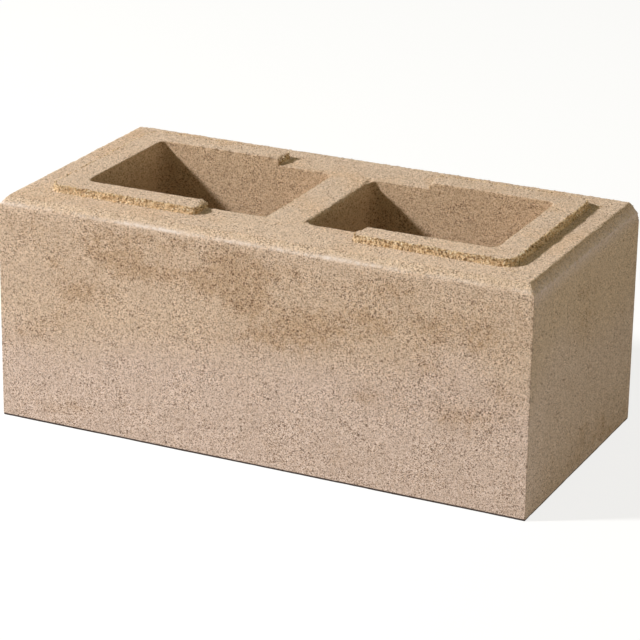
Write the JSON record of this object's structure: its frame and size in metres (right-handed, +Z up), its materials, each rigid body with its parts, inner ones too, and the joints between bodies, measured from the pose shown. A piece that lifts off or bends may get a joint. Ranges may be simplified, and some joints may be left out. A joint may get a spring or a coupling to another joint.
{
  "type": "interlocking concrete block",
  "caption": "Rectangular hollow wall block with upright cores, a bevelled top edge, raised keys round the cores and matching seats in the underside.",
  "frame": {"origin": "centre of the underside, on the floor", "axes": "+X along the block's length, +Y through the wall's thickness, +Z up, towards the keys"},
  "size_m": [0.495, 0.2476, 0.2094],
  "materials": {
    "concrete": "matte"
  },
  "bodies": {
    "root": {"concrete_block": "concrete"}
  },
  "joints": []
}
